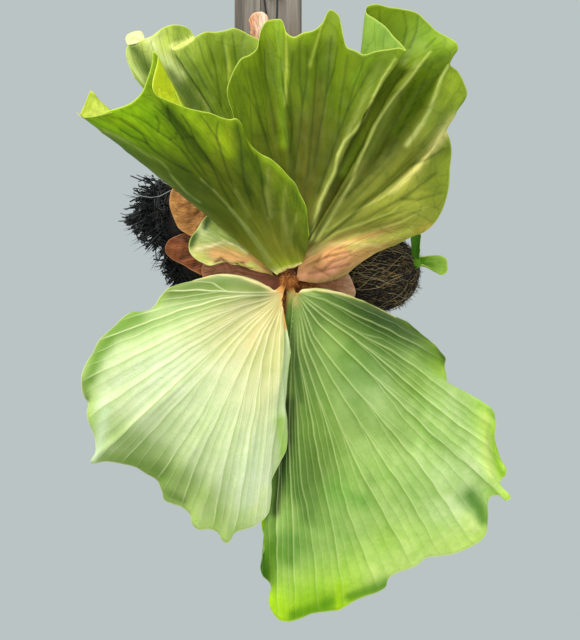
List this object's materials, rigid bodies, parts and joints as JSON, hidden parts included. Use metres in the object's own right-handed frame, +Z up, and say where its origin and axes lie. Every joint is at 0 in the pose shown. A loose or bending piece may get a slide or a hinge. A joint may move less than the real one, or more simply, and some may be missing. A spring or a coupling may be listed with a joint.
{
  "type": "mounted staghorn fern",
  "caption": "Staghorn fern with broad upright shield fronds, two hanging fertile fronds and a matted root ball, grown on a weathered plank that hangs flat on a wall.",
  "frame": {"origin": "centre of the plank's back face, which lies flat on the wall", "axes": "+Z up along the plank, +Y out of the plank's back face into the wall; the plant grows towards -Y"},
  "size_m": [0.5476, 0.2461, 0.8529],
  "materials": {
    "weathered_wood": "weathered, unfinished",
    "nail_steel": "dull",
    "wire_coating": "matt",
    "roots": "fibrous, matted",
    "bud_scales": "hairy scales",
    "shield_green": "satin leaf",
    "shield_fading": "satin leaf",
    "shield_dry": "dry, papery",
    "felted_frond": "felted leaf"
  },
  "bodies": {
    "root": {"plank": "weathered_wood", "nail_left": "nail_steel", "nail_right": "nail_steel", "tie_wire": "wire_coating", "root_ball": "roots", "rhizome": "bud_scales", "shield_front_left": "shield_green", "shield_centre_right": "shield_green", "shield_back_left": "shield_green", "shield_lower_left": "shield_fading", "dry_shield_lower_left": "shield_dry", "dry_shield_tan_left": "shield_dry", "dry_shield_rust_left": "shield_dry", "dry_shield_right": "shield_dry", "dry_shield_back": "shield_dry", "fertile_frond_left": "felted_frond", "fertile_frond_right": "felted_frond", "pup": "shield_green"}
  },
  "joints": []
}
